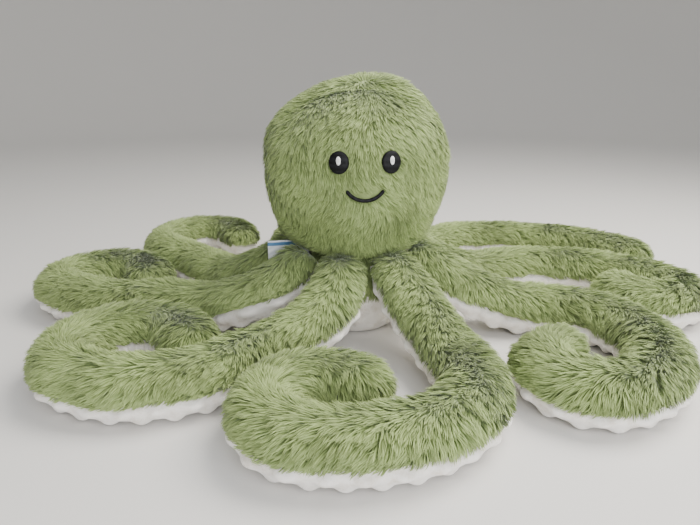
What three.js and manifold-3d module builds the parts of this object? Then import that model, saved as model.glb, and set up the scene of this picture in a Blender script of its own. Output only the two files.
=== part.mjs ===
// A long-pile plush octopus that stands on a table with its eight stuffed arms curled round it.
// Millimetres, +Z up, the face towards -Y. The origin is under the middle of the body, on the table.

import * as THREE from 'three';
import { mergeVertices } from 'three/addons/utils/BufferGeometryUtils.js';
import Module from 'manifold-3d';

const wasm = await Module();
wasm.setup();

// ---------------------------------------------------------------- driving dimensions

const GAP = 0.3; // left between pieces that touch
const CLOTH = 4; // backing cloth with the packed root of its pile

// Head: an egg that is fuller below its middle, turned a little to its own left.
const HEAD_CENTRE_Z = 178;
const HEAD_HALF_WIDTH = 90;
const HEAD_HALF_DEPTH = 86;
const HEAD_RISE = 75;
const HEAD_DROP = 98;
const HEAD_TURN = THREE.MathUtils.degToRad(5);
const HEAD_FLOOR_Z = 93; // where the head is closed underneath
const BACK_PANEL_PUFF = 2.5; // the back panel stands this far above the face panel
const SEAM_LEAN = 0.55; // how far the seam between the panels runs forward per millimetre of height
const HEAD_ROWS = 14;
const HEAD_COLUMNS = 20;

// Neck: a stuffed plug with a round top on which the head nods.
const NECK_PIVOT_Z = 88.3;
const NECK_RADIUS = 33;
const SOCKET_ROOM = 1.6; // between the plug and the hollow in the head

// Face.
const EYE_SPACING = 45;
const EYE_Z = 180.5;
const EYE_WIDTH = 16;
const EYE_HEIGHT = 19;
const GLINT_WIDTH = 3.6;
const GLINT_HEIGHT = 7;
const GLINT_LIFT = 1.5; // the white highlight sits above the middle of the eye
const STITCH_DEPTH = 2.2; // how deep the embroidery sinks into the pile
const STITCH_PROUD = 0.8;
const GLINT_DEPTH = 1; // the highlight is stitched on top of the black
const SMILE_WIDTH = 32;
const SMILE_SAG = 9.5;
const SMILE_END_Z = 157.5;
const SMILE_THREAD = 3;

// Body: a stuffed drum under the head with a bowl-shaped white base.
const BODY_RADIUS = 49;
const BODY_SEAM_Z = 42;
const BODY_TOP_Z = 88;
const BODY_TOP_RADIUS = 34;
const BODY_SHOULDER_Z = 71;
const BASE_FLAT_RADIUS = 34;
const BASE_EDGE_Z = 16;
const BODY_SEGMENTS = 18;

// Sewn-in label behind the neck on the left.
const LABEL_LENGTH = 42;
const LABEL_HEIGHT = 20;
const LABEL_THICK = 1;
const LABEL_AZIMUTH = THREE.MathUtils.degToRad(189.5); // between two arms
const LABEL_RADIUS = 49.5;
const LABEL_MIDDLE_Z = 82;

// Arms: eight alike, sewn on at even steps, each curled clockwise seen from above.
const ARM_LENGTH = 505; // from the hinge line beside the body to the tip
const ARM_HINGE_RADIUS = 75;
const ARM_HALF_WIDTH = 27;
const ARM_HALF_HEIGHT = 25;
const ARM_HINGE_Z = 66;
const ARM_SLOPE_LENGTH = 100; // the arm comes down to the table over this length
const ARM_SLOPE_POWER = 1.5;
const ARM_RISE = ARM_HINGE_Z - ARM_HALF_HEIGHT;
const ARM_ROOT_SLOPE = -ARM_RISE * ARM_SLOPE_POWER / ARM_SLOPE_LENGTH;
const ARM_ROOT_STRETCH = Math.hypot(1, ARM_ROOT_SLOPE); // sloping length per plan length
const ARM_SEAM_DROP = 7; // the seam between pile and sole runs this far below the middle
const ROUND_REACH = 23; // a rounded root end goes this far behind its hinge line
const ARM_ROOT_SHARE = 0.84; // share of the full width at the hinge line, between its neighbours
const ARM_ROOT_WIDENING = 0.0065; // share of the width gained per millimetre along the arm
const TIP_LENGTH = 120; // the free end that lifts by itself
const TIP_HINGE_CLEARANCE = 28; // radius of the hollow that the tip's round root turns in
const LONG_STEPS = 16;
const TIP_STEPS = 8;
const STEP_CROWDING = 0.6; // how much closer the steps stand towards an arm's ends
const OPEN_REACH = 23.5; // the filling shows in the open root end of the cloth
const TIP_SIDE_ROOM = 5; // the hollow is this much wider than the arm on either side
const ARM_FIRST_AZIMUTH = 257;
const ARM_AZIMUTH_STEP = 45;
const ARCH_SIDES = 5; // sides of the arched top of an arm's section
const SOLE_INSET = 5;
const SEAM_GAP = 1.8; // between pile and sole, where the seam allowance is turned in
const LINING_GAP = 1; // between the cloth and the filling of an arm

// Plan course of each arm, as runs of [length, degrees turned clockwise]; the last run is the curl.
const ARMS = [
  { name: 'arm_front_left', runs: [[70, 53], [55, -30], [138, 86], [242, 244]] },
  { name: 'arm_front_right', runs: [[110, 14], [95, 66], [105, 56], [195, 234]] },
  { name: 'arm_right', runs: [[100, -12], [115, 72], [135, 82], [155, 208]] },
  { name: 'arm_right_back', runs: [[100, 2], [110, 40], [130, 54], [165, 234]] },
  { name: 'arm_back_right', runs: [[75, 24], [80, 1], [100, 44], [250, 78]] },
  { name: 'arm_back_left', runs: [[95, 16], [115, 20], [110, 98], [185, 160]] },
  { name: 'arm_left_back', runs: [[100, 42], [118, -18], [110, 70], [177, 182]] },
  { name: 'arm_left', runs: [[60, 62], [110, -36], [100, 46], [235, 252]] },
];

// ---------------------------------------------------------------- materials

const PILE = { color: 0x7f9a66, roughness: 0.95, metalness: 0 };
const SOLE = { color: 0xe9e6df, roughness: 0.9, metalness: 0 };
const FILLING = { color: 0xf4f2ec, roughness: 1, metalness: 0 };
const BLACK_THREAD = { color: 0x17171a, roughness: 0.6, metalness: 0 };
const WHITE_THREAD = { color: 0xf5f5f2, roughness: 0.6, metalness: 0 };
const LABEL_TAPE = { color: 0xeef1f4, roughness: 0.5, metalness: 0 };

const octopus = new THREE.Group();

function addPiece(name, geometry, finish) {
  const mesh = new THREE.Mesh(geometry, new THREE.MeshStandardMaterial(finish));
  mesh.name = name;
  octopus.add(mesh);
}

// ---------------------------------------------------------------- cutting and joining

function toSolid(geometry) {
  const bare = geometry.clone();
  bare.deleteAttribute('normal');
  bare.deleteAttribute('uv');
  const merged = mergeVertices(bare, 1e-4);
  return new wasm.Manifold(new wasm.Mesh({
    numProp: 3,
    vertProperties: new Float32Array(merged.attributes.position.array),
    triVerts: new Uint32Array(merged.index.array),
  }));
}

function toGeometry(solid) {
  const cut = solid.getMesh();
  const geometry = new THREE.BufferGeometry();
  geometry.setAttribute('position', new THREE.BufferAttribute(cut.vertProperties, 3));
  geometry.setIndex(new THREE.BufferAttribute(cut.triVerts, 1));
  geometry.computeVertexNormals();
  return geometry;
}

// ---------------------------------------------------------------- head

function headEgg(grow) {
  const egg = new THREE.SphereGeometry(1, HEAD_COLUMNS, HEAD_ROWS);
  egg.rotateX(Math.PI / 2);
  const points = egg.attributes.position;
  for (let i = 0; i < points.count; i += 1) {
    const tall = points.getZ(i) > 0 ? HEAD_RISE : HEAD_DROP;
    points.setXYZ(
      i,
      points.getX(i) * (HEAD_HALF_WIDTH + grow),
      points.getY(i) * (HEAD_HALF_DEPTH + grow),
      HEAD_CENTRE_Z + points.getZ(i) * (tall + grow),
    );
  }
  return toSolid(egg);
}

// Everything above the head's floor, on one side of the leaning seam plane.
function headSide(isFace, gap) {
  const size = 4 * HEAD_HALF_WIDTH;
  const half = new THREE.BoxGeometry(size, size, size);
  const side = isFace ? -1 : 1;
  half.translate(0, side * (size / 2 + gap), 0);
  half.rotateX(Math.atan(SEAM_LEAN));
  half.translate(0, 0, HEAD_CENTRE_Z);
  return toSolid(half);
}

function aboveLevel(level) {
  const size = 4 * HEAD_HALF_WIDTH;
  const box = new THREE.BoxGeometry(size, size, size);
  box.translate(0, 0, level + size / 2);
  return toSolid(box);
}

function neckBall(radius) {
  const ball = new THREE.SphereGeometry(radius, BODY_SEGMENTS, BODY_SEGMENTS / 2);
  ball.rotateX(Math.PI / 2);
  ball.translate(0, 0, NECK_PIVOT_Z);
  return toSolid(ball);
}

function ovalPrism(width, height, x, z) {
  const oval = new THREE.Shape();
  oval.absellipse(0, 0, width / 2, height / 2, 0, 2 * Math.PI, false, 0);
  const prism = new THREE.ExtrudeGeometry(oval, {
    depth: 2 * HEAD_HALF_DEPTH,
    bevelEnabled: false,
    curveSegments: 8,
  });
  prism.rotateX(Math.PI / 2);
  prism.translate(x, 0, z);
  return toSolid(prism);
}

function smilePrism(thread) {
  const half = SMILE_WIDTH / 2;
  const radius = (half * half + SMILE_SAG * SMILE_SAG) / (2 * SMILE_SAG);
  const reach = Math.asin(half / radius);
  const outline = new THREE.Shape();
  const middle = -Math.PI / 2;
  outline.absarc(0, 0, radius + thread / 2, middle - reach, middle + reach, false);
  outline.absarc(0, 0, radius - thread / 2, middle + reach, middle - reach, true);
  outline.closePath();
  const prism = new THREE.ExtrudeGeometry(outline, {
    depth: 2 * HEAD_HALF_DEPTH,
    bevelEnabled: false,
    curveSegments: 10,
  });
  prism.rotateX(Math.PI / 2);
  prism.translate(0, 0, SMILE_END_Z + radius - SMILE_SAG);
  return toSolid(prism);
}

// A patch of embroidery: a prism through the face, kept only between two skins of the head.
function stitchedPatch(prism, depth) {
  return prism.intersect(headEgg(STITCH_PROUD)).subtract(headEgg(-depth));
}

// Room in the face for a patch of embroidery.
function stitchedHole(prism, depth) {
  return prism.subtract(headEgg(-depth - GAP));
}

// Adds both eyes with their highlights, and returns the face panel with room for them.
function buildEyes(face) {
  let panel = face;
  for (const [name, side] of [['left_eye', -1], ['right_eye', 1]]) {
    const x = side * EYE_SPACING / 2;
    const glintZ = EYE_Z + GLINT_LIFT;
    const eye = stitchedPatch(ovalPrism(EYE_WIDTH, EYE_HEIGHT, x, EYE_Z), STITCH_DEPTH);
    const eyeRoom = ovalPrism(EYE_WIDTH + 2 * GAP, EYE_HEIGHT + 2 * GAP, x, EYE_Z);
    const glintRoom = ovalPrism(GLINT_WIDTH + 2 * GAP, GLINT_HEIGHT + 2 * GAP, x, glintZ);
    const glint = stitchedPatch(ovalPrism(GLINT_WIDTH, GLINT_HEIGHT, x, glintZ), GLINT_DEPTH);
    panel = panel.subtract(stitchedHole(eyeRoom, STITCH_DEPTH));
    addPiece(name, toGeometry(eye.subtract(stitchedHole(glintRoom, GLINT_DEPTH))), BLACK_THREAD);
    addPiece(`${name}_glint`, toGeometry(glint), WHITE_THREAD);
  }
  return panel;
}

function buildHead() {
  const skin = aboveLevel(HEAD_FLOOR_Z);
  const socket = neckBall(NECK_RADIUS + SOCKET_ROOM);
  const inner = headEgg(-CLOTH);

  const face = headEgg(0).subtract(inner).intersect(skin).intersect(headSide(true, GAP / 2));
  const smile = stitchedPatch(smilePrism(SMILE_THREAD), STITCH_DEPTH);
  const smileRoom = stitchedHole(smilePrism(SMILE_THREAD + 2 * GAP), STITCH_DEPTH);
  const panel = buildEyes(face).subtract(smileRoom).subtract(socket);
  addPiece('smile', toGeometry(smile), BLACK_THREAD);
  addPiece('head_face_panel', toGeometry(panel), PILE);

  const back = headEgg(BACK_PANEL_PUFF).subtract(inner).intersect(skin)
    .intersect(headSide(false, GAP / 2)).subtract(socket);
  addPiece('head_back_panel', toGeometry(back), PILE);

  const filling = headEgg(-CLOTH - GAP).intersect(skin).subtract(socket);
  addPiece('head_filling', toGeometry(filling), FILLING);
}

// ---------------------------------------------------------------- neck and body

function turned(profile, segments) {
  const points = profile.map(([r, z]) => new THREE.Vector2(r, z));
  const lathe = new THREE.LatheGeometry(points, segments);
  lathe.rotateX(Math.PI / 2);
  return toSolid(lathe);
}

function buildNeck() {
  const neck = neckBall(NECK_RADIUS).intersect(aboveLevel(NECK_PIVOT_Z));
  addPiece('neck_filling', toGeometry(neck), FILLING);
}

function buildBody() {
  const seam = BODY_SEAM_Z;
  const innerRadius = BODY_RADIUS - CLOTH;
  const cover = turned([
    [innerRadius, seam], [BODY_RADIUS, seam], [BODY_RADIUS, BODY_SHOULDER_Z],
    [BODY_TOP_RADIUS, BODY_TOP_Z], [0, BODY_TOP_Z], [0, BODY_TOP_Z - CLOTH],
    [BODY_TOP_RADIUS - CLOTH, BODY_TOP_Z - CLOTH], [innerRadius, BODY_SHOULDER_Z - CLOTH / 2],
    [innerRadius, seam],
  ], BODY_SEGMENTS);
  addPiece('body_cover', toGeometry(cover), PILE);

  const base = turned([
    [0, 0], [BASE_FLAT_RADIUS, 0], [BODY_RADIUS, BASE_EDGE_Z], [BODY_RADIUS, seam - GAP],
    [innerRadius, seam - GAP], [innerRadius, BASE_EDGE_Z + CLOTH / 2],
    [BASE_FLAT_RADIUS - CLOTH / 2, CLOTH], [0, CLOTH],
  ], BODY_SEGMENTS);
  addPiece('body_base', toGeometry(base), SOLE);

  const fillRadius = innerRadius - GAP;
  const filling = turned([
    [0, CLOTH + GAP], [BASE_FLAT_RADIUS - CLOTH, CLOTH + GAP], [fillRadius, BASE_EDGE_Z + CLOTH],
    [fillRadius, BODY_SHOULDER_Z - CLOTH], [BODY_TOP_RADIUS - 2 * CLOTH, BODY_TOP_Z - CLOTH - GAP],
    [0, BODY_TOP_Z - CLOTH - GAP],
  ], BODY_SEGMENTS);
  addPiece('body_filling', toGeometry(filling), FILLING);
}

function buildLabel() {
  const tape = new THREE.BoxGeometry(LABEL_LENGTH, LABEL_THICK, LABEL_HEIGHT);
  tape.translate(LABEL_RADIUS + LABEL_LENGTH / 2, 0, LABEL_MIDDLE_Z);
  tape.rotateZ(LABEL_AZIMUTH);
  addPiece('label', tape, LABEL_TAPE);
}

// ---------------------------------------------------------------- arms

// Where the arm's middle line is, and which way it heads, at a distance along it. Behind the
// hinge line the course is carried straight back.
function armCourse(arm, distance, hinge) {
  let heading = arm.azimuth;
  let x = ARM_HINGE_RADIUS * Math.cos(heading);
  let y = ARM_HINGE_RADIUS * Math.sin(heading);
  let left = Math.max(distance, hinge);
  for (const [length, degrees] of arm.runs) {
    if (left <= 0) break;
    const step = Math.min(left, length);
    const bend = -THREE.MathUtils.degToRad(degrees) / length;
    const next = heading + bend * step;
    x += (Math.sin(next) - Math.sin(heading)) / bend;
    y += (Math.cos(heading) - Math.cos(next)) / bend;
    heading = next;
    left -= step;
  }
  const behind = Math.min(0, distance - hinge);
  return { x: x + behind * Math.cos(heading), y: y + behind * Math.sin(heading), heading };
}

function armHeight(distance) {
  if (distance < 0) return ARM_HINGE_Z + distance * ARM_ROOT_SLOPE;
  const share = Math.max(0, 1 - distance / ARM_SLOPE_LENGTH);
  return ARM_HALF_HEIGHT + ARM_RISE * share ** ARM_SLOPE_POWER;
}

// Shares of the full half width and half height that the arm keeps at a distance along it.
function armFullness(distance, hinge) {
  let wide = 1;
  let high = 1;
  if (distance < hinge) {
    const stretch = hinge === 0 ? ARM_ROOT_STRETCH : 1;
    high = Math.sqrt(1 - ((hinge - distance) * stretch / ARM_HALF_HEIGHT) ** 2);
  }
  const roundEnd = ARM_LENGTH - ARM_HALF_WIDTH;
  if (distance > roundEnd) {
    const past = (distance - roundEnd) / (ARM_HALF_WIDTH + 1);
    wide = Math.sqrt(1 - past * past);
    high = Math.sqrt(1 - (0.8 * past) ** 2);
  }
  const wedge = ARM_ROOT_SHARE + distance * ARM_ROOT_WIDENING;
  return { wide: Math.min(wide, wedge), high };
}

// Bends a straight extrusion (section in x and y, length in z) along the arm, from its rounded
// root behind the hinge line to the end.
function bendAlongArm(section, arm, hinge, to, steps, reach = ROUND_REACH) {
  const from = hinge - reach / (hinge === 0 ? ARM_ROOT_STRETCH : 1);
  const straight = new THREE.ExtrudeGeometry(section, {
    depth: to - from,
    steps,
    bevelEnabled: false,
    curveSegments: 1,
  });
  const points = straight.attributes.position;
  for (let i = 0; i < points.count; i += 1) {
    const share = points.getZ(i) / (to - from);
    const crowd = STEP_CROWDING * Math.sin(2 * Math.PI * share) / (2 * Math.PI);
    const distance = from + (to - from) * (share - crowd);
    const { x, y, heading } = armCourse(arm, distance, hinge);
    const { wide, high } = armFullness(distance, hinge);
    const slope = (armHeight(distance + 1) - armHeight(distance - 1)) / 2;
    const lean = Math.atan(slope);
    const side = points.getX(i) * wide;
    const up = points.getY(i) * high;
    points.setXYZ(
      i,
      x - side * Math.sin(heading) - up * Math.sin(lean) * Math.cos(heading),
      y + side * Math.cos(heading) - up * Math.sin(lean) * Math.sin(heading),
      armHeight(distance) + up * Math.cos(lean),
    );
  }
  return straight;
}

function shapeOf(corners) {
  return new THREE.Shape(corners.map(([x, y]) => new THREE.Vector2(x, y)));
}

// Corners of a half ellipse that stands on the line y = base, from right to left.
function arch(halfWidth, base, top, count) {
  const corners = [];
  for (let i = 0; i <= count; i += 1) {
    const angle = Math.PI * i / count;
    corners.push([halfWidth * Math.cos(angle), base + (top - base) * Math.sin(angle)]);
  }
  return corners;
}

function pileSection() {
  return shapeOf(arch(ARM_HALF_WIDTH, -ARM_SEAM_DROP, ARM_HALF_HEIGHT, ARCH_SIDES));
}

function soleSection() {
  const seam = -ARM_SEAM_DROP - SEAM_GAP;
  const wide = ARM_HALF_WIDTH;
  const deep = -ARM_HALF_HEIGHT;
  return shapeOf([[wide, seam], [-wide, seam], [SOLE_INSET - wide, deep], [wide - SOLE_INSET, deep]]);
}

// The inside of the cloth, or the filling when it is shrunk by the gap round it.
function coreSection(shrink) {
  const wide = ARM_HALF_WIDTH - CLOTH - shrink;
  const deep = -ARM_HALF_HEIGHT + CLOTH + shrink;
  return shapeOf([
    ...arch(wide, -ARM_SEAM_DROP, ARM_HALF_HEIGHT - CLOTH - shrink, ARCH_SIDES),
    [SOLE_INSET - wide, deep], [wide - SOLE_INSET, deep],
  ]);
}

// The hollow at the end of the long part in which the tip's round root turns.
function tipHollow(arm) {
  const { x, y, heading } = armCourse(arm, ARM_LENGTH - TIP_LENGTH, 0);
  const width = 2 * (ARM_HALF_WIDTH + TIP_SIDE_ROOM);
  const roller = new THREE.CylinderGeometry(
    TIP_HINGE_CLEARANCE,
    TIP_HINGE_CLEARANCE,
    width,
    BODY_SEGMENTS,
  );
  roller.rotateZ(heading);
  roller.translate(x, y, ARM_HALF_HEIGHT);
  return toSolid(roller);
}

function buildArm(arm) {
  const tipStart = ARM_LENGTH - TIP_LENGTH;
  const hollow = tipHollow(arm);
  const longPart = (section, reach) => toSolid(
    bendAlongArm(section, arm, 0, tipStart, LONG_STEPS, reach),
  );
  const inside = longPart(coreSection(0), OPEN_REACH).add(hollow);
  const filling = longPart(coreSection(LINING_GAP), OPEN_REACH).subtract(hollow);
  addPiece(`${arm.name}_pile`, toGeometry(longPart(pileSection()).subtract(inside)), PILE);
  addPiece(`${arm.name}_sole`, toGeometry(longPart(soleSection()).subtract(inside)), SOLE);
  addPiece(`${arm.name}_filling`, toGeometry(filling), FILLING);

  const tipPart = (section) => toSolid(bendAlongArm(section, arm, tipStart, ARM_LENGTH, TIP_STEPS));
  const tipSole = tipPart(soleSection());
  const tipPile = tipPart(pileSection());
  addPiece(`${arm.name}_tip_pile`, toGeometry(tipPile), PILE);
  addPiece(`${arm.name}_tip_sole`, toGeometry(tipSole), SOLE);
}

// ---------------------------------------------------------------- assembly

buildHead();
for (const piece of octopus.children) {
  piece.geometry.rotateZ(HEAD_TURN);
}
buildNeck();
buildBody();
buildLabel();
ARMS.forEach((arm, index) => {
  const degrees = ARM_FIRST_AZIMUTH + index * ARM_AZIMUTH_STEP;
  buildArm({ ...arm, azimuth: THREE.MathUtils.degToRad(degrees) });
});

export default octopus;
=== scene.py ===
"""A long-pile plush octopus that sits on a table with eight stuffed arms curled clockwise round it.

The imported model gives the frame. Shapes are worked out in millimetres and put into meshes in metres.
"""

import logging
import math
from collections.abc import Callable, Sequence
from dataclasses import dataclass, field
from enum import Enum

import bpy
import numpy as np
from numpy.typing import NDArray
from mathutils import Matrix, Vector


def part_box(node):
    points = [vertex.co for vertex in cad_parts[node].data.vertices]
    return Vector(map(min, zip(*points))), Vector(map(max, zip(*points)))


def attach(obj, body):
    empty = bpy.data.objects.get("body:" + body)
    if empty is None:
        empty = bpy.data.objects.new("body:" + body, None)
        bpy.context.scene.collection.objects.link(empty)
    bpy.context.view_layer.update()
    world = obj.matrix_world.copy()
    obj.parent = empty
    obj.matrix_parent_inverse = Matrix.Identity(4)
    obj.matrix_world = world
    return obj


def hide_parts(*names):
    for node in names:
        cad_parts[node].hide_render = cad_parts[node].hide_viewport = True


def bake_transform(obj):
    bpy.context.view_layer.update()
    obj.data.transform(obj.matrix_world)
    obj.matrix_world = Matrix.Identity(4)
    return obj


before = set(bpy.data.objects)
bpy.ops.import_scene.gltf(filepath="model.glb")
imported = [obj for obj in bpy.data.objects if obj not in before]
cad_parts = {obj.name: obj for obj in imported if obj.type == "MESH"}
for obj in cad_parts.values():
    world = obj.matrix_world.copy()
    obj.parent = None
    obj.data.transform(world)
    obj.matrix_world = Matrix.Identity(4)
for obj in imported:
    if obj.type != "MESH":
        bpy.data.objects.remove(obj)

Array = NDArray[np.float64]
Indices = NDArray[np.int64]
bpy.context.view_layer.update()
MM = 0.001
LOG = logging.getLogger("octopus")


# ---------------------------------------------------------------- small tools


def linear(colour: str) -> tuple[float, ...]:
    """Turns an sRGB hex colour into the linear RGBA that a shader socket takes.

    Args:
        colour: Such as "#8fa06a".

    Returns:
        Red, green, blue and an alpha of 1, each from 0 to 1.
    """
    shares = [int(colour[at:at + 2], 16) / 255 for at in (1, 3, 5)]
    curve = [s / 12.92 if s <= 0.04045 else ((s + 0.055) / 1.055) ** 2.4 for s in shares]
    return (*curve, 1.0)


def unit(vectors: Array) -> Array:
    """Each vector along the last axis, divided by its length."""
    return vectors / np.maximum(np.linalg.norm(vectors, axis=-1, keepdims=True), 1e-12)


def smooth_step(value: Array, low: float, high: float) -> Array:
    """Rises from 0 at low to 1 at high as 3t^2 - 2t^3, where t is the clipped share of the way."""
    share = np.clip((value - low) / (high - low), 0, 1)
    return share * share * (3 - 2 * share)


def ripple(points: Array, pitch: float, seed: int) -> Array:
    """Smooth noise of about -1 to 1: six sine waves of about one pitch in random directions, summed.

    Args:
        points: Places, with x, y and z in millimetres along the last axis.
        pitch: The mean length of a wave in millimetres.
        seed: Picks the directions, lengths and phases of the waves.

    Returns:
        One value for each point.
    """
    rng = np.random.default_rng(seed)
    waves = unit(rng.normal(size=(6, 3))) * rng.uniform(0.7, 1.4, (6, 1)) * 2 * np.pi / pitch
    phases = rng.uniform(0, 2 * np.pi, 6)
    return np.sin(points @ waves.T + phases).sum(-1) / 3


# ---------------------------------------------------------------- finishes


def add_node(
    tree: bpy.types.NodeTree,
    kind: str,
    values: dict[str | int, object] | None = None,
    links: dict[str | int, bpy.types.NodeSocket] | None = None,
    **settings: object,
) -> bpy.types.Node:
    """Adds one shader node.

    Args:
        tree: The material's node tree.
        kind: The node's type name.
        values: Constants for input sockets, by name or number.
        links: Output sockets to join to input sockets, by name or number.
        settings: The node's own settings.

    Returns:
        The new node.
    """
    node = tree.nodes.new(kind)
    for name, value in settings.items():
        setattr(node, name, value)
    for socket, value in (values or {}).items():
        node.inputs[socket].default_value = value
    for socket, source in (links or {}).items():
        tree.links.new(source, node.inputs[socket])
    return node


def set_stops(ramp: bpy.types.Node, stops: Sequence[tuple[float, str]]) -> None:
    """Gives a colour ramp its stops.

    Args:
        ramp: The colour ramp node.
        stops: A place from 0 to 1 and an sRGB hex colour for each stop, in rising order.
    """
    elements = ramp.color_ramp.elements
    while len(elements) < len(stops):
        elements.new(1.0)
    for element, (place, colour) in zip(elements, stops, strict=True):
        element.position = place
        element.color = linear(colour)


def start_material(name: str) -> tuple[bpy.types.Material, bpy.types.NodeTree]:
    """Makes an empty node material and returns it with its node tree."""
    material = bpy.data.materials.new(name)
    material.use_nodes = True
    material.node_tree.nodes.clear()
    return material, material.node_tree


PILE_MAP = "OFBake"  # across: the strand's tint; up: from its root to its tip
CLOTH_MAP = "cloth"  # millimetres across and along the cloth, divided by MAP_SPAN
MAP_SPAN = 100.0  # millimetres of cloth for one unit of the cloth map


@dataclass(frozen=True)
class PileFinish:
    """Sage-green polyester pile: matt strands, with painted shade that darkens them towards their roots and
    painted light that pales their tips.
    """

    # root is painted shade between the strands and tip is painted light on their ends; middle is the sage
    # green itself
    root: str = "#7d8e54"
    middle: str = "#93a763"
    tip: str = "#b0c27e"
    dull: str = "#b4b6b0"
    bright: str = "#ffffff"
    roughness: float = 0.6
    sheen: float = 0.35

    def material(self) -> bpy.types.Material:
        """A painted shade from the dark root to the lit, pale tip, multiplied by the strand's own tint."""
        made, tree = start_material("polyester_pile_brushed_sage")
        uv = add_node(tree, "ShaderNodeUVMap", uv_map=PILE_MAP)
        split = add_node(tree, "ShaderNodeSeparateXYZ", links={0: uv.outputs[0]})
        length = add_node(tree, "ShaderNodeValToRGB", links={0: split.outputs["Y"]})
        # painted shade at the roots, painted light at the tips
        set_stops(length, [(0.0, self.root), (0.45, self.middle), (1.0, self.tip)])
        tint = add_node(tree, "ShaderNodeValToRGB", links={0: split.outputs["X"]})
        set_stops(tint, [(0.0, self.dull), (0.75, self.bright)])
        colour = add_node(
            tree, "ShaderNodeMix", {0: 1.0}, {6: length.outputs[0], 7: tint.outputs[0]},
            data_type="RGBA", blend_type="MULTIPLY",
        )
        shader = add_node(
            tree, "ShaderNodeBsdfPrincipled",
            {"Roughness": self.roughness, "Sheen Weight": self.sheen, "Sheen Roughness": 0.4,
             "Specular IOR Level": 0.3},
            {"Base Color": colour.outputs[2]},
        )
        add_node(tree, "ShaderNodeOutputMaterial", links={0: shader.outputs[0]})
        return made


@dataclass(frozen=True)
class BackingFinish:
    """Knitted polyester backing: a dull green jersey of 1 mm stitches that shows where the pile parts."""

    dark: str = "#76864f"
    light: str = "#95a668"
    stitch: float = 1.0

    def material(self) -> bpy.types.Material:
        """Rows of stitches across and along the cloth map, lighter on their crests and darker in their
        grooves as painted shade, with a slow change of tone.
        """
        made, tree = start_material("polyester_jersey_knitted_green")
        uv = add_node(tree, "ShaderNodeUVMap", uv_map=CLOTH_MAP)
        place = add_node(tree, "ShaderNodeTexCoord").outputs["Object"]
        shade = add_node(tree, "ShaderNodeTexNoise", {"Scale": 60.0, "Detail": 3.0}, {"Vector": place})
        rows = add_node(
            tree, "ShaderNodeTexWave", {"Scale": MAP_SPAN / self.stitch / 20, "Distortion": 1.5},
            {"Vector": uv.outputs[0]}, bands_direction="DIAGONAL",
        )
        blend = add_node(
            tree, "ShaderNodeMath", {1: 0.5}, {0: rows.outputs["Fac"], 2: shade.outputs["Fac"]},
            operation="MULTIPLY_ADD",
        )
        colour = add_node(tree, "ShaderNodeValToRGB", links={0: blend.outputs[0]})
        # the rows' crests and grooves are painted shade; the slow noise is the jersey's own uneven tone
        set_stops(colour, [(0.3, self.dark), (1.0, self.light)])
        bump = add_node(
            tree, "ShaderNodeBump", {"Strength": 0.5, "Distance": 0.0004}, {"Height": rows.outputs["Fac"]},
        )
        shader = add_node(
            tree, "ShaderNodeBsdfPrincipled", {"Roughness": 0.9, "Sheen Weight": 0.3},
            {"Base Color": colour.outputs[0], "Normal": bump.outputs[0]},
        )
        add_node(tree, "ShaderNodeOutputMaterial", links={0: shader.outputs[0]})
        return made


@dataclass(frozen=True)
class DimplePlushFinish:
    """Cream dimple plush: a 2 mm brushed nap, soft and matt, with painted shade that makes the low parts of
    its nap a little darker and warmer.
    """

    # hollow is painted shade in the low parts of the nap; crown is the cream on its high parts
    hollow: str = "#d9d0c0"
    crown: str = "#f6f2ea"
    nap: float = 1.6

    def material(self) -> bpy.types.Material:
        """Nap in two sizes of noise: strands of the nap's pitch, and the brushed patches they lie in."""
        made, tree = start_material("polyester_dimple_plush_cream")
        place = add_node(tree, "ShaderNodeTexCoord").outputs["Object"]
        nap = add_node(
            tree, "ShaderNodeTexNoise", {"Scale": 1 / (self.nap * MM), "Detail": 4.0, "Roughness": 0.7},
            {"Vector": place},
        )
        patches = add_node(tree, "ShaderNodeTexNoise", {"Scale": 90.0, "Detail": 2.0}, {"Vector": place})
        mixed = add_node(
            tree, "ShaderNodeMath", {1: 0.6}, {0: nap.outputs["Fac"], 2: patches.outputs["Fac"]},
            operation="MULTIPLY_ADD",
        )
        colour = add_node(tree, "ShaderNodeValToRGB", links={0: mixed.outputs[0]})
        # darker and warmer where the nap is low, a painted shade; the brushed patches also vary the tone at
        # random
        set_stops(colour, [(0.45, self.hollow), (0.85, self.crown)])
        bump = add_node(
            tree, "ShaderNodeBump", {"Strength": 0.6, "Distance": 0.0008}, {"Height": mixed.outputs[0]},
        )
        shader = add_node(
            tree, "ShaderNodeBsdfPrincipled",
            {"Roughness": 0.85, "Sheen Weight": 0.5, "Sheen Roughness": 0.5, "Specular IOR Level": 0.2},
            {"Base Color": colour.outputs[0], "Normal": bump.outputs[0]},
        )
        add_node(tree, "ShaderNodeOutputMaterial", links={0: shader.outputs[0]})
        return made


class ThreadColour(Enum):
    """The two reels of embroidery thread."""

    BLACK = ("rayon_thread_satin_stitched_black", "#050506", "#141417")
    WHITE = ("rayon_thread_satin_stitched_white", "#dcdcd8", "#fbfbf8")


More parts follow.
